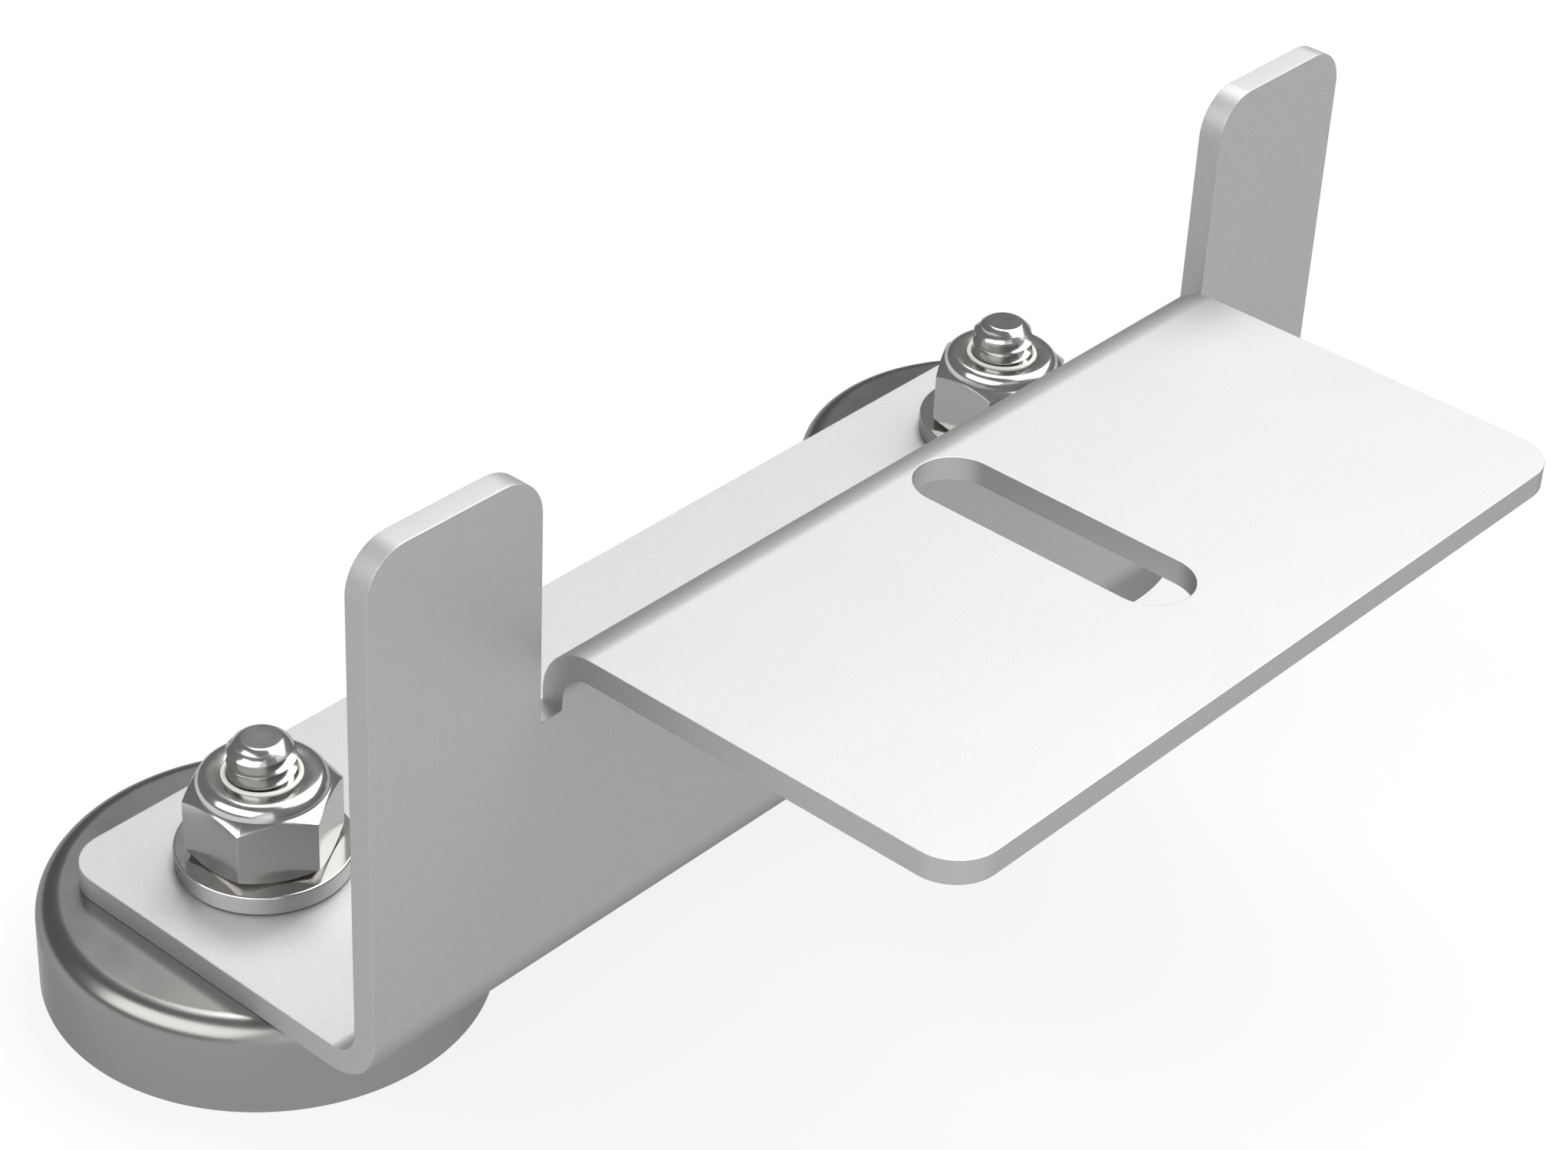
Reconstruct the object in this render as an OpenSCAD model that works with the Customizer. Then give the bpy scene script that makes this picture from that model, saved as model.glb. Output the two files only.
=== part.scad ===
// Magnetic mount for the frame of a solar panel: a folded sheet bracket on two pot magnets.
// The magnets stand on z = 0 and the middle of the footprint is the origin. X runs along the
// bracket, +Y points to the back edge of the base, and the shelf reaches towards -Y.
// Millimetres throughout.

/* [Bracket] */
// Thickness of the sheet
sheet_t = 2.5; // [2:0.1:3.5]
// Inside radius of both folds
bend_r = 3; // [2:0.1:4]
// Length of the base strip
base_l = 132; // [122:1:180]
// Depth of the base strip, from the front of the wall to its back edge
base_w = 41.8; // [38:0.1:60]
// Height of the end tabs above the underside of the base
tab_h = 55; // [46:0.5:80]
// Width of each end tab
tab_w = 19.7; // [16:0.1:24]
// Height of the top of the shelf above the underside of the base
shelf_h = 36; // [30:0.5:40]
// Reach of the shelf from the front of the wall
shelf_d = 43.3; // [40:0.1:60]
// Radius of the rounded corners of the base, the tabs and the shelf
corner_r = 4.4; // [2:0.1:7]

/* [Relief notches] */
// Width of the notch between a tab and the shelf
notch_w = 2.65; // [1:0.05:4]
// Depth of the notch below the end of the shelf's fold
notch_drop = 1.1; // [0.5:0.1:4]

/* [Slot] */
// Width of the slot in the shelf
slot_w = 8; // [5:0.5:12]
// Overall length of the slot
slot_l = 30; // [20:0.5:32]
// Gap from the front of the wall to the back end of the slot
slot_setback = 2.65; // [2:0.05:6]

/* [Pot magnets] */
// Diameter of the steel cup
cup_d = 42; // [36:0.5:48]
// Height of the steel cup
cup_h = 9.6; // [8.5:0.1:14]
// Radius of the rounded upper edge of the cup
cup_edge_r = 2.4; // [1:0.1:3]
// Thickness of the cup's side wall
cup_wall = 3; // [2:0.1:5]
// Thickness of the cup's roof
cup_roof = 4; // [3:0.1:5]
// Width of the resin ring between the magnet disc and the cup
resin_w = 1.6; // [0.8:0.1:3]
// How far the magnet disc stands back from the rim of the cup
disc_recess = 0.3; // [0.1:0.1:1]
// Chamfer on the edges of the magnet disc
disc_chamfer = 0.5; // [0.2:0.1:1]
// Distance of a stud's hole from the end and from the back edge of the base
hole_inset = 13.25; // [11:0.05:18]

/* [Studs] */
// Diameter over the stud's thread
stud_d = 6.4; // [5:0.1:8]
// Length of the stud above the top of the cup
stud_l = 16.3; // [15:0.1:22]
// Width of the chamfer at the stud's end
stud_chamfer_w = 1.1; // [0.4:0.1:1.6]
// Height of the chamfer at the stud's end
stud_chamfer_h = 0.85; // [0.4:0.05:1.6]
// Diameter of the flat head that holds the stud inside the cup
stud_head_d = 11; // [10:0.5:16]
// Thickness of that head
stud_head_t = 1.6; // [1:0.1:2]

/* [Washers] */
// Outer diameter of a washer
washer_d = 16.6; // [15:0.1:20]
// Thickness of a washer
washer_t = 2; // [1.2:0.1:2.5]
// Clearance of the washer's hole around the stud, on the diameter
washer_clearance = 0.6; // [0.3:0.1:1.5]

/* [Lock nuts] */
// Width across the flats of the nut
nut_af = 12.8; // [12:0.1:14]
// Height of the nut with its collar
nut_h = 8; // [7.5:0.1:9]
// Height of the hexagon alone
hex_h = 6.7; // [6:0.1:7]
// Width of the chamfer that rounds the hexagon's corners off
hex_chamfer_w = 1.25; // [0.6:0.05:1.6]
// Height of that chamfer
hex_chamfer_h = 0.8; // [0.4:0.05:1.2]
// Diameter of the rolled collar
collar_d = 12.2; // [11.6:0.1:12.4]
// Radius of the collar's rolled edge
collar_r = 1.2; // [0.6:0.1:1.3]
// Thickness of the collar's lip over the nylon ring
lip_t = 0.5; // [0.3:0.05:0.8]

/* [Nylon rings] */
// Diameter of the nylon ring inside the collar
nylon_d = 10; // [9.4:0.1:10.2]
// Height of the nylon ring under the lip
nylon_h = 2.1; // [1.5:0.1:2.6]
// Width of the bead of nylon that shows around the stud
bead_w = 0.55; // [0.3:0.05:0.7]
// How far the bead stands above the collar
bead_rise = 0.15; // [0:0.05:0.3]

/* [Clearances] */
// Clearance of the base's holes around the studs, on the diameter
hole_clearance = 0.6; // [0.3:0.1:1.5]
// Clearance of the nut's bore around the stud, on the diameter
nut_clearance = 0.2; // [0.1:0.05:0.4]
// Clearance of the pieces that are pressed or glued together, all round
seat_clearance = 0.02; // [0.01:0.01:0.05]

/* [Hidden] */
$fn = 96;

left = -1;
right = 1;

// The footprint runs from the front of the shelf to the back of the magnets.
magnet_y_from_front = base_w - hole_inset;
wall_front_y = (shelf_d - magnet_y_from_front - cup_d / 2) / 2;
magnet_y = wall_front_y + magnet_y_from_front;
magnet_x = base_l / 2 - hole_inset;

// The sheet lies on the cups, and both folds have the same radii.
base_z = cup_h;
fold_r = bend_r + sheet_t;
shelf_w = base_l - 2 * (tab_w + notch_w);
shelf_fold_z = shelf_h - fold_r;
shelf_fold_y = wall_front_y - bend_r;
notch_z = shelf_fold_z - notch_drop;
slot_y = wall_front_y - slot_setback - slot_l / 2;

disc_t = cup_h - cup_roof - disc_recess;
disc_d = cup_d - 2 * (cup_wall + resin_w);
washer_z = base_z + sheet_t;
nut_z = washer_z + washer_t;
nylon_z = nut_h - lip_t - nylon_h;
bead_d = stud_d + 2 * (seat_clearance + bead_w);
cut = 0.1;

aluminium = "#d9dadb";
nickel = "#a3a29e";
zinc = "#b5b4b0";
nylon = "#dcdcd8";
resin = "#2c2c2e";
magnet_plating = "#8f8f90";

// A plate outline that starts at the origin and has its two far corners rounded.
module plate_outline(width, depth, radius) {
    translate([-width / 2, 0])
        square([width, depth - radius]);
    translate([radius - width / 2, 0])
        square([width - 2 * radius, depth]);
    for (side = [left, right])
        translate([side * (width / 2 - radius), depth - radius])
            circle(radius);
}

// A quarter of a ring that joins two plates at right angles, about its own centre.
module fold_section() {
    intersection() {
        difference() {
            circle(fold_r);
            circle(bend_r);
        }
        square(fold_r);
    }
}

// A fold runs along X with its centre at the given place and opens as it is turned.
module fold(length, y, z, turn) {
    translate([-length / 2, y, z])
        rotate([90, 0, 90])
            linear_extrude(length)
                rotate(turn)
                    fold_section();
}

module slot_outline() {
    straight = slot_l - slot_w;
    for (end = [-1, 1])
        translate([0, end * straight / 2])
            circle(d = slot_w);
    translate([-slot_w / 2, -straight / 2])
        square([slot_w, straight]);
}

module base_plate() {
    translate([0, wall_front_y, base_z])
        linear_extrude(sheet_t)
            difference() {
                translate([0, fold_r])
                    plate_outline(base_l, base_w - fold_r, corner_r);
                for (side = [left, right])
                    translate([side * magnet_x, magnet_y_from_front])
                        circle(d = stud_d + hole_clearance);
            }
}

// The wall and its tabs are drawn as seen from the front, upwards from the base's fold.
module wall_outline() {
    translate([-base_l / 2, fold_r])
        square([base_l, notch_z - fold_r]);
    translate([-shelf_w / 2, fold_r])
        square([shelf_w, shelf_fold_z - fold_r]);
    for (side = [left, right])
        translate([side * (base_l - tab_w) / 2, fold_r])
            plate_outline(tab_w, tab_h - fold_r, corner_r);
}

module wall_plate() {
    translate([0, wall_front_y + sheet_t, base_z])
        rotate([90, 0, 0])
            linear_extrude(sheet_t)
                wall_outline();
}

module shelf_plate() {
    difference() {
        translate([0, shelf_fold_y, base_z + shelf_h - sheet_t])
            linear_extrude(sheet_t)
                mirror([0, 1])
                    plate_outline(shelf_w, shelf_d - bend_r, corner_r);
        slot_cut();
    }
}

// The slot may reach back into the fold, so it is cut as deep as the fold is high.
module slot_cut() {
    translate([0, slot_y, base_z + shelf_fold_z])
        linear_extrude(fold_r + cut)
            slot_outline();
}

module bracket() {
    color(aluminium) {
        base_plate();
        fold(base_l, wall_front_y + fold_r, base_z + fold_r, 180);
        wall_plate();
        difference() {
            fold(shelf_w, shelf_fold_y, base_z + shelf_fold_z, 0);
            slot_cut();
        }
        shelf_plate();
    }
}

module at_magnet(side, z) {
    translate([side * magnet_x, magnet_y, z])
        children();
}

// Half of a cup's section: a deep drawn pot with a rounded upper edge, open below.
module cup_section() {
    inner_r = cup_d / 2 - cup_wall;
    difference() {
        union() {
            square([cup_d / 2, cup_h - cup_edge_r]);
            square([cup_d / 2 - cup_edge_r, cup_h]);
            translate([cup_d / 2 - cup_edge_r, cup_h - cup_edge_r])
                circle(cup_edge_r);
        }
        translate([-cut, -cut])
            square([inner_r + cut, cup_h - cup_roof + cut]);
        translate([-cut, -cut])
            square([stud_head_d / 2 + seat_clearance + cut, cup_h - cup_roof + stud_head_t + cut]);
        translate([-cut, -cut])
            square([stud_d / 2 + seat_clearance + cut, cup_h + 2 * cut]);
        translate([-cup_d, 0])
            square([cup_d, cup_h + cut]);
    }
}

module magnet_cup(side) {
    color(nickel)
        at_magnet(side, 0)
            rotate_extrude()
                cup_section();
}

// The disc is flush with the inside of the roof and stands back a little from the rim.
module magnet_disc(side) {
    color(magnet_plating)
        at_magnet(side, disc_recess) {
            cylinder(h = disc_chamfer, d1 = disc_d - 2 * disc_chamfer, d2 = disc_d);
            translate([0, 0, disc_chamfer])
                cylinder(h = disc_t - 2 * disc_chamfer, d = disc_d);
            translate([0, 0, disc_t - disc_chamfer])
                cylinder(h = disc_chamfer, d1 = disc_d, d2 = disc_d - 2 * disc_chamfer);
        }
}

module potting_ring(side) {
    color(resin)
        at_magnet(side, disc_recess)
            difference() {
                cylinder(h = disc_t, d = cup_d - 2 * (cup_wall + seat_clearance));
                translate([0, 0, -cut])
                    cylinder(h = disc_t + 2 * cut, d = disc_d + 2 * seat_clearance);
            }
}

module stud(side) {
    shank_l = cup_roof - stud_head_t + stud_l - stud_chamfer_h;
    color(zinc)
        at_magnet(side, cup_h - cup_roof) {
            cylinder(h = stud_head_t, d = stud_head_d);
            translate([0, 0, stud_head_t])
                cylinder(h = shank_l, d = stud_d);
            translate([0, 0, stud_head_t + shank_l])
                cylinder(h = stud_chamfer_h, d1 = stud_d, d2 = stud_d - 2 * stud_chamfer_w);
        }
}

module washer(side) {
    color(zinc)
        at_magnet(side, washer_z)
            difference() {
                cylinder(h = washer_t, d = washer_d);
                translate([0, 0, -cut])
                    cylinder(h = washer_t + 2 * cut, d = stud_d + washer_clearance);
            }
}

// The turned blank rounds the corners of the hexagon off, above and below.
module hex_blank() {
    corner_d = nut_af / cos(30);
    cylinder(h = hex_chamfer_h, d1 = corner_d - 2 * hex_chamfer_w, d2 = corner_d);
    translate([0, 0, hex_chamfer_h])
        cylinder(h = hex_h - 2 * hex_chamfer_h, d = corner_d);
    translate([0, 0, hex_h - hex_chamfer_h])
        cylinder(h = hex_chamfer_h, d1 = corner_d, d2 = corner_d - 2 * hex_chamfer_w);
}

module hex_body() {
    intersection() {
        rotate(30)
            cylinder(h = hex_h, d = nut_af / cos(30), $fn = 6);
        hex_blank();
    }
}

// The collar stands on the hexagon and is rolled over the nylon ring.
module collar_section() {
    translate([0, hex_h / 2])
        square([collar_d / 2, nut_h - hex_h / 2 - collar_r]);
    translate([0, hex_h / 2])
        square([collar_d / 2 - collar_r, nut_h - hex_h / 2]);
    intersection() {
        translate([collar_d / 2 - collar_r, nut_h - collar_r])
            circle(collar_r);
        square([collar_d, nut_h]);
    }
}

module lock_nut(side) {
    color(zinc)
        at_magnet(side, nut_z)
            difference() {
                union() {
                    hex_body();
                    rotate_extrude()
                        collar_section();
                }
                translate([0, 0, -cut])
                    cylinder(h = nut_h, d = stud_d + nut_clearance);
                translate([0, 0, nylon_z])
                    cylinder(h = nylon_h + seat_clearance, d = nylon_d + 2 * seat_clearance);
                translate([0, 0, nylon_z])
                    cylinder(h = nut_h, d = bead_d + 2 * seat_clearance);
            }
}

// Half of the nylon ring's section, with the bead that shows above the collar.
module nylon_section() {
    bore_r = stud_d / 2 + seat_clearance;
    bead_top = nut_h + bead_rise - nylon_z;
    bead_r = bead_w / 2;
    translate([bore_r, 0])
        square([nylon_d / 2 - bore_r, nylon_h]);
    translate([bore_r, 0])
        square([bead_w, bead_top - bead_r]);
    translate([bore_r + bead_r, bead_top - bead_r])
        circle(bead_r);
}

module nylon_insert(side) {
    color(nylon)
        at_magnet(side, nut_z + nylon_z)
            rotate_extrude()
                nylon_section();
}

bracket();
magnet_cup(left);  // left_magnet_cup
magnet_disc(left);  // left_magnet_disc
potting_ring(left);  // left_potting_ring
stud(left);  // left_stud
washer(left);  // left_washer
lock_nut(left);  // left_lock_nut
nylon_insert(left);  // left_nylon_insert
magnet_cup(right);  // right_magnet_cup
magnet_disc(right);  // right_magnet_disc
potting_ring(right);  // right_potting_ring
stud(right);  // right_stud
washer(right);  // right_washer
lock_nut(right);  // right_lock_nut
nylon_insert(right);  // right_nylon_insert
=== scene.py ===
"""Visible pieces, finishes and studio of a magnetic solar panel mount.

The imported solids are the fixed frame. Each operator models one piece, or one kind of piece, around
them, and the last operator sets the studio up. Lengths are metres, in the frame of the solids.
"""

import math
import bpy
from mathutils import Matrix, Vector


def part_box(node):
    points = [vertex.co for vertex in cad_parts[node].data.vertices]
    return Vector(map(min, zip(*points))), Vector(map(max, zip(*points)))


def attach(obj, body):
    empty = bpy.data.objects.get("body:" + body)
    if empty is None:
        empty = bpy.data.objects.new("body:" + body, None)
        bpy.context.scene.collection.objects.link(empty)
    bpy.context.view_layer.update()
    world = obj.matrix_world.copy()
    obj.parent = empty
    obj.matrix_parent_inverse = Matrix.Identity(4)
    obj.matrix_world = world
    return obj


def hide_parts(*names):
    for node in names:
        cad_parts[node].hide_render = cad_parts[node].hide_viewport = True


bl_info = {
    "name": "Magnetic Solar Panel Mount",
    "version": (1, 0, 0),
    "blender": (4, 5, 0),
    "location": "3D View > Sidebar > Mount",
    "description": "Models the visible pieces of the mount around its solids and lights them",
    "category": "Object",
}

import bmesh
import bpy
from bpy.props import FloatProperty, FloatVectorProperty, PointerProperty
from mathutils import Euler, Vector

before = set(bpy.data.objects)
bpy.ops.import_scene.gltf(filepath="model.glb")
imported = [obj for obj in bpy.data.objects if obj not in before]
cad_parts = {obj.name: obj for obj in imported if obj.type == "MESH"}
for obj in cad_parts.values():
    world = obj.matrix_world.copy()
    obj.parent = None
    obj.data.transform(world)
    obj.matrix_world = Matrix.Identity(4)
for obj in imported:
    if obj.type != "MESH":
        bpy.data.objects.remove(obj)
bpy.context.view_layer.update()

MM = 0.001
SIDES = ("left", "right")
# Two places count as one within this distance.
NEAR = 0.002 * MM
# Gap at which the solids are seated in one another.
SEAT_GAP = 0.02 * MM
# Edges that turn by more than the first angle are broken. Past the second, the shading is crisp.
BROKEN_ANGLE = math.radians(28)
CRISP_ANGLE = math.radians(40)
# Length of plain shank below the stud's thread, and how far the shank reaches into the thread.
PLAIN_SHANK = 1.2 * MM
SHANK_OVERLAP = 0.4 * MM
# The floor lies just below the cups, so that the two don't share a plane.
FLOOR_GAP = 0.05 * MM


def linear(hex_colour):
    """Turns an sRGB hex colour into the linear colour, with alpha, that Blender holds."""
    channels = [int(hex_colour[i : i + 2], 16) / 255 for i in (1, 3, 5)]
    light = [c / 12.92 if c <= 0.04045 else ((c + 0.055) / 1.055) ** 2.4 for c in channels]
    return (*light, 1.0)


class BracketSettings(bpy.types.PropertyGroup):
    """Edges and finish of the folded sheet."""

    edge_break: FloatProperty(
        name="Edge Break",
        description="Radius that deburring leaves on the cut edges of the sheet",
        default=0.12 * MM,
        unit="LENGTH",
    )
    colour: FloatVectorProperty(
        name="Aluminium Colour",
        description="Colour of the satin aluminium",
        default=linear("#b9b9b9"),
        subtype="COLOR",
        size=4,
    )
    roughness: FloatProperty(
        name="Roughness",
        description="Mean roughness of the satin surface",
        default=0.56,
        subtype="FACTOR",
    )
    grain: FloatProperty(
        name="Grain",
        description="Width of one grain of the satin surface, coarser than real so that it shows",
        default=0.2 * MM,
        unit="LENGTH",
    )


class MagnetSettings(bpy.types.PropertyGroup):
    """Sizes and finishes of the pot magnets that their boxes don't give."""

    edge_radius: FloatProperty(
        name="Upper Edge",
        description="Radius of the rounded upper edge of the cup",
        default=2.4 * MM,
        unit="LENGTH",
    )
    rim_break: FloatProperty(
        name="Rim Break",
        description="Radius on the edges of the contact rim",
        default=0.25 * MM,
        unit="LENGTH",
    )
    colour: FloatVectorProperty(
        name="Nickel Colour",
        description="Colour of the polished nickel plate",
        default=linear("#91908e"),
        subtype="COLOR",
        size=4,
    )
    roughness: FloatProperty(
        name="Nickel Roughness",
        description="Mean roughness of the nickel plate",
        default=0.26,
        subtype="FACTOR",
    )
    disc_colour: FloatVectorProperty(
        name="Disc Colour",
        description="Colour of the plated magnet disc",
        default=linear("#8f8f90"),
        subtype="COLOR",
        size=4,
    )
    resin_colour: FloatVectorProperty(
        name="Resin Colour",
        description="Colour of the potting resin around the disc",
        default=linear("#232326"),
        subtype="COLOR",
        size=4,
    )


class FastenerSettings(bpy.types.PropertyGroup):
    """Sizes and finishes of the studs, washers and lock nuts."""

    thread_pitch: FloatProperty(
        name="Thread Pitch",
        description="Rise of the stud's thread in one turn",
        default=1.25 * MM,
        unit="LENGTH",
    )
    thread_depth: FloatProperty(
        name="Thread Depth",
        description="Depth of the stud's thread",
        default=0.7 * MM,
        unit="LENGTH",
    )
    thread_phase: FloatProperty(
        name="Thread Phase",
        description="Share of a pitch by which the thread is raised",
        default=0.09,
        subtype="FACTOR",
    )
    stud_diameter: FloatProperty(
        name="Stud Diameter",
        description="Outer diameter of the stud's thread and of its plain shank",
        default=6.4 * MM,
        unit="LENGTH",
    )
    tip_radius: FloatProperty(
        name="Tip Size",
        description="Width and height of the rounded chamfer at the end of the stud",
        default=1.45 * MM,
        unit="LENGTH",
    )
    tip_profile: FloatProperty(
        name="Tip Profile",
        description="Shape of the tip, from 0.25 for a cone to 0.5 for a quarter circle",
        default=0.36,
        subtype="FACTOR",
    )
    head_height: FloatProperty(
        name="Head Height",
        description="Thickness of the stud's flat head inside the cup",
        default=1.6 * MM,
        unit="LENGTH",
    )
    washer_bore: FloatProperty(
        name="Washer Bore",
        description="Diameter of the washer's hole",
        default=7.0 * MM,
        unit="LENGTH",
    )
    washer_break: FloatProperty(
        name="Washer Edge",
        description="Radius that stamping leaves on the washer's edges",
        default=0.22 * MM,
        unit="LENGTH",
    )
    nut_bore: FloatProperty(
        name="Nut Bore",
        description="Diameter of the lock nut's bore",
        default=6.6 * MM,
        unit="LENGTH",
    )
    hex_height: FloatProperty(
        name="Hexagon Height",
        description="Height of the lock nut's hexagon",
        default=6.7 * MM,
        unit="LENGTH",
    )
    chamfer_width: FloatProperty(
        name="Hexagon Chamfer Width",
        description="Width of the turned chamfer on the hexagon's corners",
        default=1.25 * MM,
        unit="LENGTH",
    )
    chamfer_height: FloatProperty(
        name="Hexagon Chamfer Height",
        description="Height of the turned chamfer on the hexagon's corners",
        default=0.8 * MM,
        unit="LENGTH",
    )
    nut_break: FloatProperty(
        name="Nut Edge",
        description="Radius that forging and plating leave on the nut's edges",
        default=0.12 * MM,
        unit="LENGTH",
    )
    collar_radius: FloatProperty(
        name="Collar Radius",
        description="Outer radius of the rolled collar",
        default=6.1 * MM,
        unit="LENGTH",
    )
    collar_roll: FloatProperty(
        name="Collar Roll",
        description="Radius of the collar's rolled edge",
        default=1.2 * MM,
        unit="LENGTH",
    )
    collar_lip: FloatProperty(
        name="Collar Lip",
        description="Radius of the opening in the rolled collar, around the nylon ring's bead",
        default=3.79 * MM,
        unit="LENGTH",
    )
    lip_depth: FloatProperty(
        name="Lip Depth",
        description="Depth of the collar's lip over the nylon ring",
        default=0.5 * MM,
        unit="LENGTH",
    )
    colour: FloatVectorProperty(
        name="Zinc Colour",
        description="Colour of the bright zinc plate",
        default=linear("#c6c5c3"),
        subtype="COLOR",
        size=4,
    )
    roughness: FloatProperty(
        name="Zinc Roughness",
        description="Mean roughness of the zinc plate",
        default=0.17,
        subtype="FACTOR",
    )
    nylon_colour: FloatVectorProperty(
        name="Nylon Colour",
        description="Colour of the lock nut's nylon ring",
        default=linear("#dcdcd6"),
        subtype="COLOR",
        size=4,
    )


class StageSettings(bpy.types.PropertyGroup):
    """Camera, floor and light of the studio."""

    camera_place: FloatVectorProperty(
        name="Camera Place",
        description="Where the camera stands",
        default=(-233.645 * MM, -186.166 * MM, 232.103 * MM),
        subtype="TRANSLATION",
        unit="LENGTH",
    )
    camera_heading: FloatProperty(
        name="Camera Heading",
        description="Direction of the camera from the mount, anticlockwise from the front",
        default=math.radians(-49.999),
        subtype="ANGLE",
    )
    camera_height: FloatProperty(
        name="Camera Elevation",
        description="Angle at which the camera looks down",
        default=math.radians(34.076),
        subtype="ANGLE",
    )
    camera_roll: FloatProperty(
        name="Camera Roll",
        description="Turn of the camera about its own view",
        default=math.radians(3.125),
        subtype="ANGLE",
    )
    lens: FloatProperty(
        name="Lens",
        description="Focal length in millimetres for a sensor 36 mm wide",
        default=88.284,
    )
    floor_colour: FloatVectorProperty(
        name="Floor Colour",
        description="Colour of the plain floor",
        default=linear("#cfcfcf"),
        subtype="COLOR",
        size=4,
    )
    floor_white: FloatProperty(
        name="Floor White",
        description="Share of plain white in the floor as the camera and reflections see it",
        default=0.85,
        subtype="FACTOR",
    )
    left_softbox_place: FloatVectorProperty(
        name="Left Softbox Place",
        description="Middle of the softbox beyond the left-hand magnet",
        default=(-1.837, 0.064, 1.543),
        subtype="TRANSLATION",
        unit="LENGTH",
    )
    left_softbox_size: FloatVectorProperty(
        name="Left Softbox Size",
        description="Width and height of the left softbox",
        default=(2.9, 1.9),
        size=2,
        unit="LENGTH",
    )
    left_softbox_power: FloatProperty(
        name="Left Softbox Power",
        description="Power of the left softbox",
        default=46.0,
        unit="POWER",
    )
    right_softbox_place: FloatVectorProperty(
        name="Right Softbox Place",
        description="Middle of the softbox high beyond the right-hand magnet",
        default=(1.302, -0.325, 1.990),
        subtype="TRANSLATION",
        unit="LENGTH",
    )
    right_softbox_size: FloatVectorProperty(
        name="Right Softbox Size",
        description="Width and height of the right softbox",
        default=(2.4, 1.9),
        size=2,
        unit="LENGTH",
    )
    right_softbox_power: FloatProperty(
        name="Right Softbox Power",
        description="Power of the right softbox",
        default=54.0,
        unit="POWER",
    )
    rear_softbox_place: FloatVectorProperty(
        name="Rear Softbox Place",
        description="Middle of the softbox high behind the wall",
        default=(0.960, 0.635, 2.106),
        subtype="TRANSLATION",
        unit="LENGTH",
    )
    rear_softbox_size: FloatVectorProperty(
        name="Rear Softbox Size",
        description="Width and height of the rear softbox",
        default=(1.4, 1.2),
        size=2,
        unit="LENGTH",
    )
    rear_softbox_power: FloatProperty(
        name="Rear Softbox Power",
        description="Power of the rear softbox",
        default=25.0,
        unit="POWER",
    )
    wall_glow: FloatProperty(
        name="Wall Glow",
        description="Strength of the light from the room's walls",
        default=0.24,
    )
    front_glow: FloatProperty(
        name="Front Glow",
        description="Strength that the wall in front of the shelf adds",
        default=1.1,
    )


def deselect():
    if bpy.context.mode != "OBJECT":
        bpy.ops.object.mode_set(mode="OBJECT")
    bpy.ops.object.select_all(action="DESELECT")


def choose(piece):
    """Makes the piece the only selected and active object."""
    deselect()
    piece.select_set(True)
    bpy.context.view_layer.objects.active = piece


def start(name, add, **values):
    """Adds a primitive, names it, moves its place into its mesh and opens it for editing."""
    deselect()
    add(**values)
    piece = bpy.context.active_object
    piece.name = piece.data.name = name
    bpy.ops.object.transform_apply(location=True, rotation=True, scale=True)
    bpy.ops.object.mode_set(mode="EDIT")
    bpy.ops.mesh.select_mode(type="VERT")
    bpy.ops.mesh.select_all(action="SELECT")
    return piece


def pick(piece, kind, test, extend=False):
    """Selects the faces, edges or vertices of which every corner passes the test."""
    bpy.ops.mesh.select_mode(type=kind)
    mesh = bmesh.from_edit_mesh(piece.data)
    parts = {"FACE": mesh.faces, "EDGE": mesh.edges, "VERT": mesh.verts}[kind]
    if not extend:
        bpy.ops.mesh.select_all(action="DESELECT")
    found = 0
    for part in parts:
        corners = [part] if kind == "VERT" else part.verts
        if all(test(corner.co) for corner in corners):
            part.select_set(True)
            found += 1
    if not found:
        raise RuntimeError(f"{piece.name}: nothing to select in {kind}")
    bmesh.update_edit_mesh(piece.data)


def at_height(z):
    return lambda point: abs(point.z - z) < NEAR


def on_ring(axis, z, radius):
    """A test for points at that height and that distance from the upright axis."""

    def test(point):
        reach = math.hypot(point.x - axis.x, point.y - axis.y)
        return abs(point.z - z) < NEAR and abs(reach - radius) < NEAR

    return test


def within(axis, z, radius):
    """A test for points at that height and no further than that from the upright axis."""

    def test(point):
        reach = math.hypot(point.x - axis.x, point.y - axis.y)
        return abs(point.z - z) < NEAR and reach < radius + NEAR

    return test


def round_off(piece, test, radius, segments, profile=0.5):
    """Rounds the edges of which both ends pass the test."""
    pick(piece, "EDGE", test)
    bpy.ops.mesh.bevel(offset=radius, segments=segments, profile=profile, affect="EDGES")


def push(height):
    """Extrudes what is selected straight up or down."""
    bpy.ops.mesh.extrude_region_move(TRANSFORM_OT_translate={"value": (0, 0, height)})


def resize(factor, axis):
    """Scales what is selected towards or away from the upright axis."""
    centre = (axis.x, axis.y, 0)
    bpy.ops.transform.resize(value=(factor, factor, 1), center_override=centre)


def cut_off(place, outwards):
    """Cuts the piece at a plane and closes it there."""
    bpy.ops.mesh.select_all(action="SELECT")
    bpy.ops.mesh.bisect(
        plane_co=place,
        plane_no=outwards,
        use_fill=True,
        clear_outer=True,
        threshold=0.0001 * MM,
    )


def copy_piece(piece, name, shift):
    """Copies a piece with a mesh of its own and moves the copy within its mesh."""
    choose(piece)
    bpy.ops.object.duplicate()
    twin = bpy.context.active_object
    twin.name = twin.data.name = name
    bpy.ops.transform.translate(value=shift)
    bpy.ops.object.transform_apply(location=True, rotation=True, scale=True)
    return twin


def apply_modifier(piece, kind, **values):
    choose(piece)
    modifier = piece.modifiers.new(kind.title(), kind)
    for name, value in values.items():
        setattr(modifier, name, value)
    bpy.ops.object.modifier_apply(modifier=modifier.name)


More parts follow.
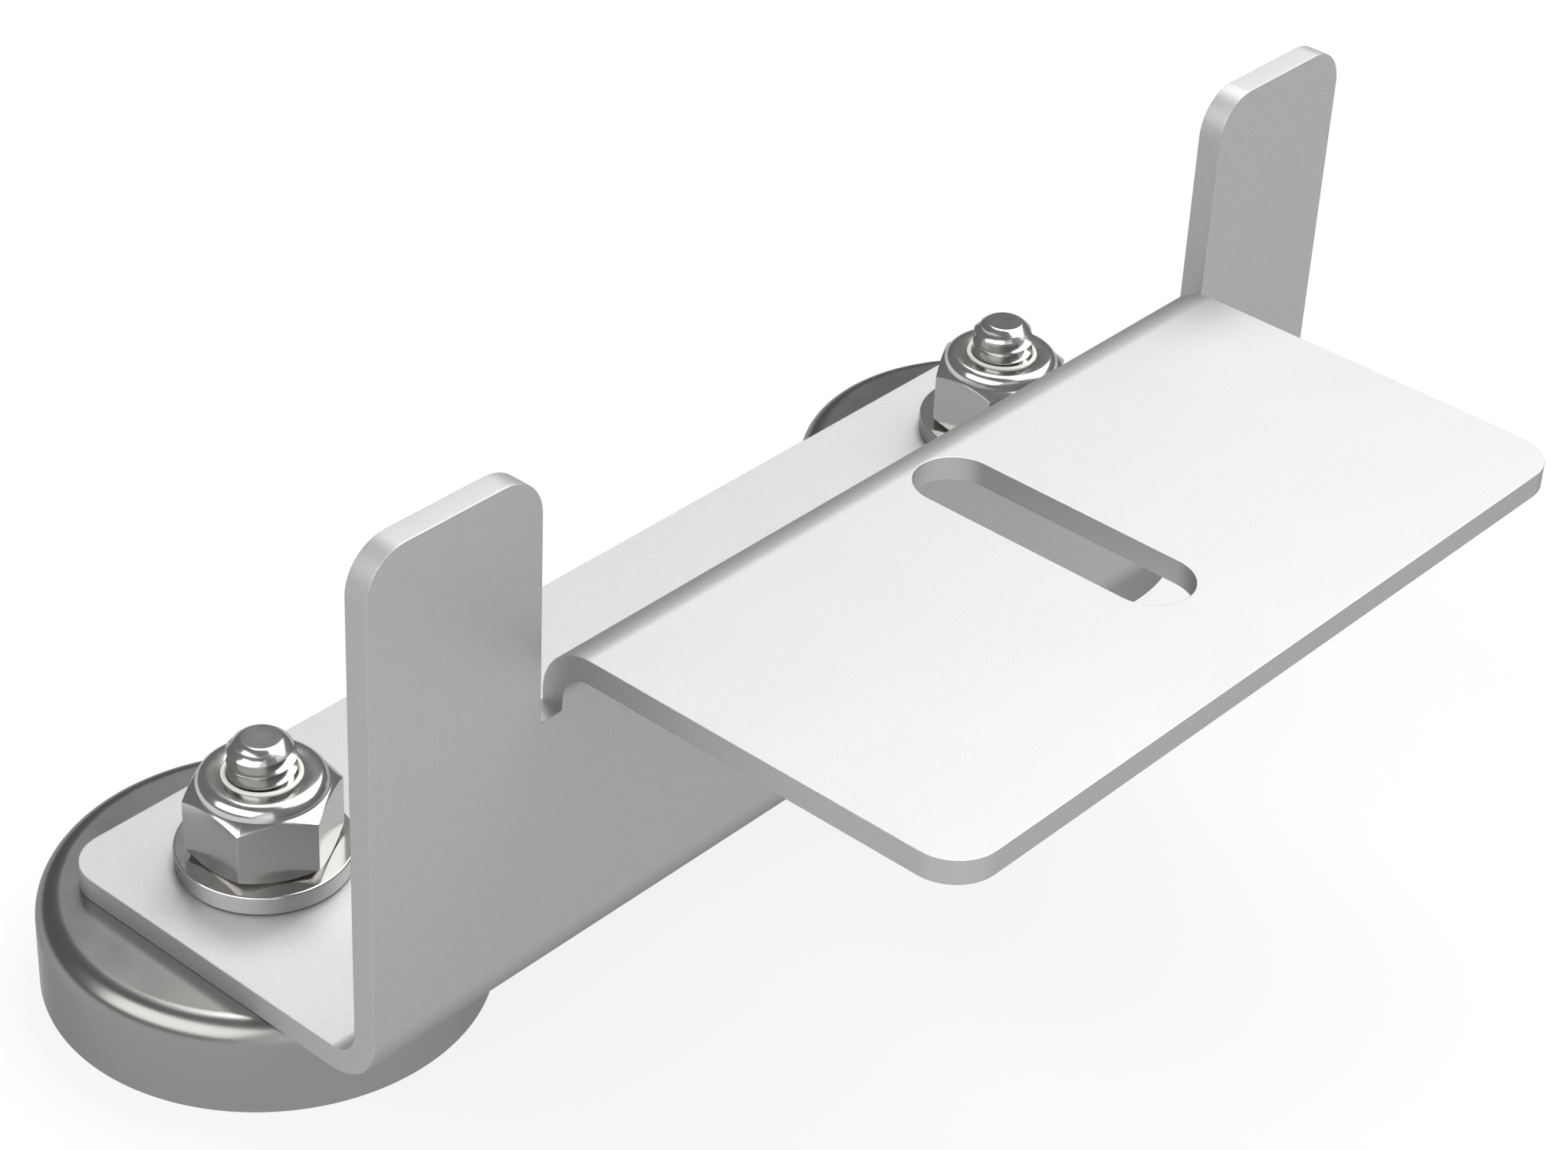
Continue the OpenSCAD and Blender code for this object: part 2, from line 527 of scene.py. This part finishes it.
def soften(piece, radius):
    """Breaks every edge of the piece that turns sharply."""
    apply_modifier(
        piece, "BEVEL", width=radius, segments=2, limit_method="ANGLE", angle_limit=BROKEN_ANGLE
    )


def shade(piece):
    """Shades the piece smooth except over its corners, with flat faces kept flat to the eye."""
    choose(piece)
    bpy.ops.object.shade_smooth_by_angle(angle=CRISP_ANGLE)
    apply_modifier(piece, "WEIGHTED_NORMAL", keep_sharp=True, weight=100)


def place_in_row(piece, node, finish):
    """Gives the piece its finish and lets it stand for a node, whose box it must fill."""
    corners = [Vector(corner) for corner in piece.bound_box]
    low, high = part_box(node)
    if max((corners[0] - low).length, (corners[6] - high).length) > 0.1 * MM:
        raise RuntimeError(f"{piece.name} doesn't fill the box of {node}")
    piece.data.materials.clear()
    piece.data.materials.append(finish)
    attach(piece, "root")
    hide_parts(node)


def dress_node(node, finish):
    """Gives a node that keeps its own shape a better finish."""
    for material_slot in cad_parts[node].material_slots:
        material_slot.link = "OBJECT"
        material_slot.material = finish


def magnet_axis(side):
    """The upright axis that a magnet shares with its fasteners, at the height of the floor."""
    low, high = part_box(f"{side}_magnet_cup")
    middle = (low + high) / 2
    return Vector((middle.x, middle.y, 0))


def add_node(tree, kind, inputs=None, **settings):
    """Adds a node. Each input is given a value, or is linked where it is given another socket."""
    node = tree.nodes.new(kind)
    for name, value in settings.items():
        setattr(node, name, value)
    for name, value in (inputs or {}).items():
        if isinstance(value, bpy.types.NodeSocket):
            tree.links.new(value, node.inputs[name])
        else:
            node.inputs[name].default_value = value
    return node


def new_finish(name):
    """A new material with an empty tree."""
    finish = bpy.data.materials.new(name)
    finish.use_nodes = True
    finish.node_tree.nodes.clear()
    return finish, finish.node_tree


def close_finish(tree, shader):
    add_node(tree, "ShaderNodeOutputMaterial", {"Surface": shader.outputs[0]})


def satin_aluminium(look):
    """Bare aluminium sheet with a satin grain: a pale, even grey with blurred reflections."""
    finish, tree = new_finish("satin_aluminium_sheet")
    place = add_node(tree, "ShaderNodeTexCoord").outputs["Object"]
    grain = add_node(
        tree,
        "ShaderNodeTexNoise",
        {"Vector": place, "Scale": 1 / look.grain, "Detail": 2.0, "Roughness": 0.6},
    )
    # Faint smears from handling, about 12 mm across.
    smears = add_node(
        tree, "ShaderNodeTexNoise", {"Vector": place, "Scale": 1 / (12 * MM), "Detail": 3.0}
    )
    gloss = add_node(
        tree,
        "ShaderNodeMapRange",
        {
            "Value": smears.outputs["Fac"],
            "From Min": 0.3,
            "From Max": 0.7,
            "To Min": look.roughness - 0.015,
            "To Max": look.roughness + 0.015,
        },
    )
    # The grain is shallow. It breaks the reflections up without showing as dents.
    bump = add_node(
        tree,
        "ShaderNodeBump",
        {"Height": grain.outputs["Fac"], "Strength": 0.5, "Distance": 0.015 * MM},
    )
    # Each grain is up to 5 % lighter or darker, which gives the fine speckle.
    sparkle = add_node(
        tree,
        "ShaderNodeMapRange",
        {
            "Value": grain.outputs["Fac"],
            "From Min": 0.3,
            "From Max": 0.7,
            "To Min": 0.95,
            "To Max": 1.05,
        },
    )
    colour = add_node(
        tree,
        "ShaderNodeVectorMath",
        {0: look.colour[:3], "Scale": sparkle.outputs["Result"]},
        operation="SCALE",
    )
    shader = add_node(
        tree,
        "ShaderNodeBsdfPrincipled",
        {
            "Base Color": colour.outputs["Vector"],
            "Metallic": 1.0,
            # A blasted face doesn't brighten when seen at a low angle.
            "Specular Tint": linear("#606060"),
            "Roughness": gloss.outputs["Result"],
            "Normal": bump.outputs["Normal"],
        },
    )
    close_finish(tree, shader)
    return finish


def plated_metal(name, colour, roughness, ripple):
    """A bright plate over steel: crisp highlights, with slight waves from the base metal."""
    finish, tree = new_finish(name)
    place = add_node(tree, "ShaderNodeTexCoord").outputs["Object"]
    waves = add_node(
        tree, "ShaderNodeTexNoise", {"Vector": place, "Scale": 1 / ripple, "Detail": 2.0}
    )
    gloss = add_node(
        tree,
        "ShaderNodeMapRange",
        {
            "Value": waves.outputs["Fac"],
            "From Min": 0.3,
            "From Max": 0.7,
            "To Min": roughness - 0.02,
            "To Max": roughness + 0.02,
        },
    )
    bump = add_node(
        tree,
        "ShaderNodeBump",
        {"Height": waves.outputs["Fac"], "Strength": 0.02, "Distance": 0.01 * MM},
    )
    shader = add_node(
        tree,
        "ShaderNodeBsdfPrincipled",
        {
            "Base Color": colour,
            "Metallic": 1.0,
            "Specular Tint": linear("#c8c8c8"),
            "Roughness": gloss.outputs["Result"],
            "Normal": bump.outputs["Normal"],
        },
    )
    close_finish(tree, shader)
    return finish


def moulded_plastic(name, colour, roughness, ior, ripple):
    """A plain dull plastic or resin with a slightly uneven skin."""
    finish, tree = new_finish(name)
    place = add_node(tree, "ShaderNodeTexCoord").outputs["Object"]
    skin = add_node(
        tree, "ShaderNodeTexNoise", {"Vector": place, "Scale": 1 / ripple, "Detail": 2.0}
    )
    bump = add_node(
        tree,
        "ShaderNodeBump",
        {"Height": skin.outputs["Fac"], "Strength": 0.2, "Distance": 0.02 * MM},
    )
    shader = add_node(
        tree,
        "ShaderNodeBsdfPrincipled",
        {
            "Base Color": colour,
            "Roughness": roughness,
            "IOR": ior,
            "Normal": bump.outputs["Normal"],
        },
    )
    close_finish(tree, shader)
    return finish


class MOUNT_OT_add_bracket(bpy.types.Operator):
    """Breaks the edges of the folded sheet and gives it its satin finish"""

    bl_idname = "mount.add_bracket"
    bl_label = "Add Bracket"

    def execute(self, context):
        look = context.scene.mount_bracket
        deselect()
        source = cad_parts["bracket"]
        bracket = bpy.data.objects.new("folded_bracket", source.data.copy())
        context.scene.collection.objects.link(bracket)
        choose(bracket)
        bpy.ops.object.mode_set(mode="EDIT")
        bpy.ops.mesh.select_all(action="SELECT")
        bpy.ops.mesh.customdata_custom_splitnormals_clear()
        bpy.ops.mesh.remove_doubles(threshold=0.001 * MM)
        bpy.ops.mesh.dissolve_limited(angle_limit=math.radians(0.5))
        bpy.ops.object.mode_set(mode="OBJECT")
        soften(bracket, look.edge_break)
        shade(bracket)
        place_in_row(bracket, "bracket", satin_aluminium(look))
        return {"FINISHED"}


class MOUNT_OT_add_magnets(bpy.types.Operator):
    """Models the nickel-plated cups and dresses the discs and the resin inside them"""

    bl_idname = "mount.add_magnets"
    bl_label = "Add Magnets"

    def execute(self, context):
        look = context.scene.mount_magnets
        axis = magnet_axis("left")
        cup = self.model_cup(look, axis)
        other = copy_piece(cup, "right_cup", magnet_axis("right") - axis)
        # Nickel looks a little warmer and darker than zinc, and its highlights are soft.
        nickel = plated_metal("polished_nickel_plate", look.colour, look.roughness, 5 * MM)
        plate = plated_metal("satin_nickel_plate", look.disc_colour, 0.3, 2 * MM)
        resin = moulded_plastic("potting_resin", look.resin_colour, 0.4, 1.55, 1.5 * MM)
        for side, piece in zip(SIDES, (cup, other)):
            shade(piece)
            place_in_row(piece, f"{side}_magnet_cup", nickel)
            dress_node(f"{side}_magnet_disc", plate)
            dress_node(f"{side}_potting_ring", resin)
        return {"FINISHED"}

    def model_cup(self, look, axis):
        """Turns a cylinder into a drawn cup with a seat and a hole for the stud."""
        low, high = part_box("left_magnet_cup")
        ring_low, ring_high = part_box("left_potting_ring")
        head_low, head_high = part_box("left_stud")
        radius = (high.x - low.x) / 2
        bore = (ring_high.x - ring_low.x) / 2 + SEAT_GAP
        seat = (head_high.x - head_low.x) / 2 + SEAT_GAP
        fasteners = bpy.context.scene.mount_fasteners
        head = fasteners.head_height
        hole = fasteners.stud_diameter / 2 + SEAT_GAP
        cup = start(
            "left_cup",
            bpy.ops.mesh.primitive_cylinder_add,
            vertices=160,
            radius=radius,
            depth=high.z - low.z,
            location=(axis.x, axis.y, (low.z + high.z) / 2),
        )
        round_off(cup, on_ring(axis, high.z, radius), look.edge_radius, 12)
        pick(cup, "FACE", at_height(low.z))
        bpy.ops.mesh.inset(thickness=radius - bore)
        push(head_low.z - low.z)
        bpy.ops.mesh.inset(thickness=bore - seat)
        push(head)
        bpy.ops.mesh.inset(thickness=seat - hole)
        pick(cup, "FACE", at_height(high.z))
        bpy.ops.mesh.inset(thickness=radius - look.edge_radius - hole)
        pick(cup, "FACE", within(axis, high.z, hole))
        pick(cup, "FACE", within(axis, head_low.z + head, hole), extend=True)
        bpy.ops.mesh.bridge_edge_loops()
        round_off(cup, on_ring(axis, low.z, radius), look.rim_break, 3)
        round_off(cup, on_ring(axis, low.z, bore), look.rim_break, 3)
        bpy.ops.object.mode_set(mode="OBJECT")
        return cup


# Section of one turn of thread, as shares of its depth and of its pitch.
THREAD_SECTION = ((0, 0), (0, 0.15), (1, 0.46), (1, 0.54), (0, 0.85), (0, 1))


class MOUNT_OT_add_studs(bpy.types.Operator):
    """Models the threaded studs that hold the bracket to the magnets"""

    bl_idname = "mount.add_studs"
    bl_label = "Add Studs"

    def execute(self, context):
        look = context.scene.mount_fasteners
        low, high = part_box("left_stud")
        root = low.z + look.head_height
        thread_start = root + PLAIN_SHANK
        rod = self.model_thread(look, thread_start, high.z)
        blank = self.model_blank(look, root, high.z)
        apply_modifier(rod, "BOOLEAN", operation="INTERSECT", object=blank, solver="EXACT")
        foot = self.model_foot(look, (high.x - low.x) / 2, low.z, thread_start + SHANK_OVERLAP)
        apply_modifier(rod, "BOOLEAN", operation="UNION", object=foot, solver="EXACT")
        for helper in (blank, foot):
            bpy.data.objects.remove(helper)
        zinc = bright_zinc(look)
        for side in SIDES:
            stud = copy_piece(rod, f"{side}_threaded_stud", magnet_axis(side))
            shade(stud)
            place_in_row(stud, f"{side}_stud", zinc)
        bpy.data.objects.remove(rod)
        return {"FINISHED"}

    def model_thread(self, look, bottom, top):
        """Sweeps the section of a turn up the axis and cuts the sweep off flat at both ends."""
        core = look.stud_diameter / 2 - look.thread_depth
        first = bottom - look.thread_pitch * (2 - look.thread_phase)
        turns = math.ceil((top - first) / look.thread_pitch) + 1
        rod = start(
            "threaded_rod",
            bpy.ops.mesh.primitive_plane_add,
            size=MM,
            location=(core, 0, first),
        )
        bpy.ops.mesh.merge(type="COLLAPSE")
        here = THREAD_SECTION[0]
        for point in THREAD_SECTION[1:]:
            step_out = (point[0] - here[0]) * look.thread_depth
            step_up = (point[1] - here[1]) * look.thread_pitch
            bpy.ops.mesh.extrude_vertices_move(
                TRANSFORM_OT_translate={"value": (step_out, 0, step_up)}
            )
            here = point
        apply_modifier(
            rod,
            "SCREW",
            axis="Z",
            screw_offset=look.thread_pitch,
            iterations=turns,
            steps=64,
            render_steps=64,
        )
        bpy.ops.object.mode_set(mode="EDIT")
        bpy.ops.mesh.select_all(action="SELECT")
        bpy.ops.mesh.remove_doubles(threshold=0.001 * MM)
        for height, up in ((bottom, -1), (top, 1)):
            cut_off(Vector((0, 0, height)), Vector((0, 0, up)))
        bpy.ops.mesh.select_all(action="SELECT")
        bpy.ops.mesh.normals_make_consistent(inside=False)
        bpy.ops.object.mode_set(mode="OBJECT")
        return rod

    def model_blank(self, look, bottom, top):
        """The turned bar with a rounded end that the thread is cut on."""
        # The bar is a little wider than the thread, so its side never meets the crests.
        spare = 0.1 * MM
        bar = look.stud_diameter / 2 + spare
        blank = start(
            "stud_blank",
            bpy.ops.mesh.primitive_cylinder_add,
            vertices=96,
            radius=bar,
            depth=top - bottom,
            location=(0, 0, (top + bottom) / 2),
        )
        rim = on_ring(Vector((0, 0, 0)), top, bar)
        round_off(blank, rim, look.tip_radius + spare, 8, profile=look.tip_profile)
        bpy.ops.object.mode_set(mode="OBJECT")
        return blank

    def model_foot(self, look, head_radius, bottom, top):
        """The flat head inside the cup, with the plain shank above it."""
        foot = start(
            "stud_foot",
            bpy.ops.mesh.primitive_cylinder_add,
            vertices=96,
            radius=head_radius,
            depth=look.head_height,
            location=(0, 0, bottom + look.head_height / 2),
        )
        seat = bottom + look.head_height
        pick(foot, "FACE", at_height(seat))
        bpy.ops.mesh.inset(thickness=head_radius - look.stud_diameter / 2)
        push(top - seat)
        bpy.ops.object.mode_set(mode="OBJECT")
        return foot


def bright_zinc(look):
    """The zinc finish of the studs, washers and nuts: silvery, with hard highlights."""
    name = "bright_zinc_plate"
    made = bpy.data.materials.get(name)
    return made or plated_metal(name, look.colour, look.roughness, 1.2 * MM)


class MOUNT_OT_add_washers(bpy.types.Operator):
    """Models the stamped washers on the base"""

    bl_idname = "mount.add_washers"
    bl_label = "Add Washers"

    def execute(self, context):
        look = context.scene.mount_fasteners
        axis = magnet_axis("left")
        low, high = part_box("left_washer")
        radius = (high.y - low.y) / 2
        washer = start(
            "left_flat_washer",
            bpy.ops.mesh.primitive_cylinder_add,
            vertices=128,
            radius=radius,
            depth=high.z - low.z,
            location=(axis.x, axis.y, (low.z + high.z) / 2),
        )
        for height in (low.z, high.z):
            pick(washer, "FACE", at_height(height))
            bpy.ops.mesh.inset(thickness=radius - look.washer_bore / 2)
        bore = look.washer_bore / 2
        pick(washer, "FACE", within(axis, low.z, bore))
        pick(washer, "FACE", within(axis, high.z, bore), extend=True)
        bpy.ops.mesh.bridge_edge_loops()
        for height in (low.z, high.z):
            round_off(washer, on_ring(axis, height, radius), look.washer_break, 3)
            round_off(washer, on_ring(axis, height, bore), look.washer_break / 2, 2)
        bpy.ops.object.mode_set(mode="OBJECT")
        other = copy_piece(washer, "right_flat_washer", magnet_axis("right") - axis)
        zinc = bright_zinc(look)
        for side, piece in zip(SIDES, (washer, other)):
            shade(piece)
            place_in_row(piece, f"{side}_washer", zinc)
        return {"FINISHED"}


class MOUNT_OT_add_lock_nuts(bpy.types.Operator):
    """Models the lock nuts and dresses the nylon rings in their collars"""

    bl_idname = "mount.add_lock_nuts"
    bl_label = "Add Lock Nuts"

    def execute(self, context):
        look = context.scene.mount_fasteners
        axis = magnet_axis("left")
        nut = self.model_nut(look, axis)
        other = copy_piece(nut, "right_hex_lock_nut", magnet_axis("right") - axis)
        zinc = bright_zinc(look)
        # Natural nylon looks like milky white wax.
        nylon = moulded_plastic("natural_nylon", look.nylon_colour, 0.35, 1.53, 0.8 * MM)
        for side, piece in zip(SIDES, (nut, other)):
            soften(piece, look.nut_break)
            shade(piece)
            place_in_row(piece, f"{side}_lock_nut", zinc)
            dress_node(f"{side}_nylon_insert", nylon)
        return {"FINISHED"}

    def model_nut(self, look, axis):
        """Cuts six flats on a turned blank and raises the rolled collar on it."""
        low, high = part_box("left_lock_nut")
        nylon_low, nylon_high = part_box("left_nylon_insert")
        flats = (high.x - low.x) / 2
        corners = flats / math.cos(math.pi / 6)
        hex_top = low.z + look.hex_height
        nut = start(
            "left_hex_lock_nut",
            bpy.ops.mesh.primitive_cylinder_add,
            vertices=192,
            radius=corners,
            depth=look.hex_height,
            location=(axis.x, axis.y, (low.z + hex_top) / 2),
        )
        for height, inwards in ((low.z, 1), (hex_top, -1)):
            pick(nut, "FACE", at_height(height))
            bpy.ops.mesh.inset(thickness=look.chamfer_width)
            pick(nut, "VERT", on_ring(axis, height, corners))
            lift = inwards * look.chamfer_height
            bpy.ops.transform.translate(value=(0, 0, lift))
        for turn in range(6):
            angle = turn * math.pi / 3
            out = Vector((math.cos(angle), math.sin(angle), 0))
            cut_off(axis + out * flats, out)
        top_radius = corners - look.chamfer_width
        bore = look.nut_bore / 2
        lip = look.collar_lip
        pocket = (nylon_high.x - nylon_low.x) / 2 + SEAT_GAP
        pick(nut, "FACE", at_height(hex_top))
        bpy.ops.mesh.inset(thickness=top_radius - look.collar_radius)
        push(high.z - hex_top)
        round_off(nut, on_ring(axis, high.z, look.collar_radius), look.collar_roll, 10)
        pick(nut, "FACE", at_height(high.z))
        bpy.ops.mesh.inset(thickness=look.collar_radius - look.collar_roll - lip)
        push(-look.lip_depth)
        push(0)
        resize(pocket / lip, axis)
        push(nylon_low.z - high.z + look.lip_depth)
        push(0)
        resize(bore / pocket, axis)
        pick(nut, "FACE", within(axis, low.z, corners))
        bpy.ops.mesh.inset(thickness=top_radius - bore)
        pick(nut, "FACE", within(axis, low.z, bore))
        pick(nut, "FACE", within(axis, nylon_low.z, bore), extend=True)
        bpy.ops.mesh.bridge_edge_loops()
        bpy.ops.mesh.select_all(action="SELECT")
        bpy.ops.mesh.remove_doubles(threshold=0.001 * MM)
        bpy.ops.object.mode_set(mode="OBJECT")
        return nut


class MOUNT_OT_add_stage(bpy.types.Operator):
    """Sets up the floor, the soft light, the surroundings and the camera"""

    bl_idname = "mount.add_stage"
    bl_label = "Add Stage"

    def execute(self, context):
        look = context.scene.mount_stage
        self.add_floor(look)
        for name in ("left_softbox", "right_softbox", "rear_softbox"):
            self.add_softbox(look, name)
        self.add_surroundings(context.scene, look)
        self.add_camera(context.scene, look)
        context.scene.view_settings.view_transform = "Standard"
        return {"FINISHED"}

    def add_floor(self, look):
        """A matt floor that the camera and reflections see as nearly white, with its shadow."""
        deselect()
        bpy.ops.mesh.primitive_plane_add(size=8, location=(0, 0, -FLOOR_GAP))
        floor = bpy.context.active_object
        floor.name = "studio_floor"
        finish, tree = new_finish("plain_pale_floor")
        path = add_node(tree, "ShaderNodeLightPath")
        seen = add_node(
            tree,
            "ShaderNodeMath",
            {0: path.outputs["Is Camera Ray"], 1: path.outputs["Is Glossy Ray"]},
            operation="ADD",
        )
        seen = add_node(
            tree,
            "ShaderNodeMath",
            {0: seen.outputs[0], 1: path.outputs["Is Transmission Ray"]},
            operation="ADD",
            use_clamp=True,
        )
        share = add_node(
            tree,
            "ShaderNodeMath",
            {0: seen.outputs[0], 1: look.floor_white},
            operation="MULTIPLY",
        )
        matt = add_node(
            tree, "ShaderNodeBsdfPrincipled", {"Base Color": look.floor_colour, "Roughness": 0.9}
        )
        white = add_node(tree, "ShaderNodeEmission", {"Color": linear("#ffffff"), "Strength": 1.0})
        mix = add_node(
            tree,
            "ShaderNodeMixShader",
            {0: share.outputs[0], 1: matt.outputs[0], 2: white.outputs[0]},
        )
        close_finish(tree, mix)
        floor.data.materials.append(finish)

    def add_softbox(self, look, name):
        """Hangs a softbox at its place, facing the mount."""
        parts = ("place", "size", "power")
        place, size, power = (getattr(look, f"{name}_{part}") for part in parts)
        deselect()
        bpy.ops.object.light_add(type="AREA", location=place)
        softbox = bpy.context.active_object
        softbox.name = name
        softbox.rotation_euler = Vector(place).to_track_quat("Z", "Y").to_euler()
        softbox.data.shape = "RECTANGLE"
        softbox.data.size, softbox.data.size_y = size
        softbox.data.energy = power

    def add_surroundings(self, scene, look):
        """A dim room that grows lighter in front of the shelf, towards its front wall."""
        room = bpy.data.worlds.new("studio_room")
        room.use_nodes = True
        tree = room.node_tree
        tree.nodes.clear()
        direction = add_node(tree, "ShaderNodeTexCoord").outputs["Generated"]
        parts = add_node(tree, "ShaderNodeSeparateXYZ", {"Vector": direction}).outputs
        strength = add_node(
            tree,
            "ShaderNodeMapRange",
            {
                "Value": parts["Y"],
                "From Min": -0.3,
                "From Max": -0.85,
                "To Min": look.wall_glow,
                "To Max": look.wall_glow + look.front_glow,
            },
            interpolation_type="SMOOTHSTEP",
        )
        glow = add_node(
            tree,
            "ShaderNodeBackground",
            {"Color": linear("#ffffff"), "Strength": strength.outputs[0]},
        )
        add_node(tree, "ShaderNodeOutputWorld", {"Surface": glow.outputs[0]})
        scene.world = room

    def add_camera(self, scene, look):
        """Stands the camera where the fit to the photo puts it."""
        deselect()
        bpy.ops.object.camera_add(location=look.camera_place)
        camera = bpy.context.active_object
        camera.name = "photo_camera"
        tilt = Euler((math.pi / 2 - look.camera_height, 0, look.camera_heading), "XYZ")
        roll = Euler((0, 0, look.camera_roll), "XYZ")
        camera.rotation_euler = (tilt.to_matrix() @ roll.to_matrix()).to_euler()
        camera.data.sensor_width = 36
        camera.data.lens = look.lens
        scene.camera = camera


class MOUNT_PT_pieces(bpy.types.Panel):
    """Lists the mount's pieces and their settings"""

    bl_label = "Magnetic Mount"
    bl_idname = "MOUNT_PT_pieces"
    bl_space_type = "VIEW_3D"
    bl_region_type = "UI"
    bl_category = "Mount"

    def draw(self, context):
        scene = context.scene
        groups = (
            (scene.mount_bracket, (MOUNT_OT_add_bracket,)),
            (scene.mount_magnets, (MOUNT_OT_add_magnets,)),
            (
                scene.mount_fasteners,
                (MOUNT_OT_add_studs, MOUNT_OT_add_washers, MOUNT_OT_add_lock_nuts),
            ),
            (scene.mount_stage, (MOUNT_OT_add_stage,)),
        )
        for settings, operators in groups:
            box = self.layout.box()
            for name in settings.bl_rna.properties.keys():
                if name not in ("rna_type", "name"):
                    box.prop(settings, name)
            for operator in operators:
                box.operator(operator.bl_idname)


SETTINGS = {
    "mount_bracket": BracketSettings,
    "mount_magnets": MagnetSettings,
    "mount_fasteners": FastenerSettings,
    "mount_stage": StageSettings,
}
OPERATORS = (
    MOUNT_OT_add_bracket,
    MOUNT_OT_add_magnets,
    MOUNT_OT_add_studs,
    MOUNT_OT_add_washers,
    MOUNT_OT_add_lock_nuts,
    MOUNT_OT_add_stage,
)


def register():
    for kind in (*SETTINGS.values(), *OPERATORS, MOUNT_PT_pieces):
        bpy.utils.register_class(kind)
    for name, kind in SETTINGS.items():
        setattr(bpy.types.Scene, name, PointerProperty(type=kind))


def unregister():
    for name in SETTINGS:
        delattr(bpy.types.Scene, name)
    for kind in reversed((*SETTINGS.values(), *OPERATORS, MOUNT_PT_pieces)):
        bpy.utils.unregister_class(kind)


def main():
    register()
    bpy.ops.mount.add_bracket()
    bpy.ops.mount.add_magnets()
    bpy.ops.mount.add_studs()
    bpy.ops.mount.add_washers()
    bpy.ops.mount.add_lock_nuts()
    bpy.ops.mount.add_stage()
    deselect()


if __name__ == "__main__":
    main()
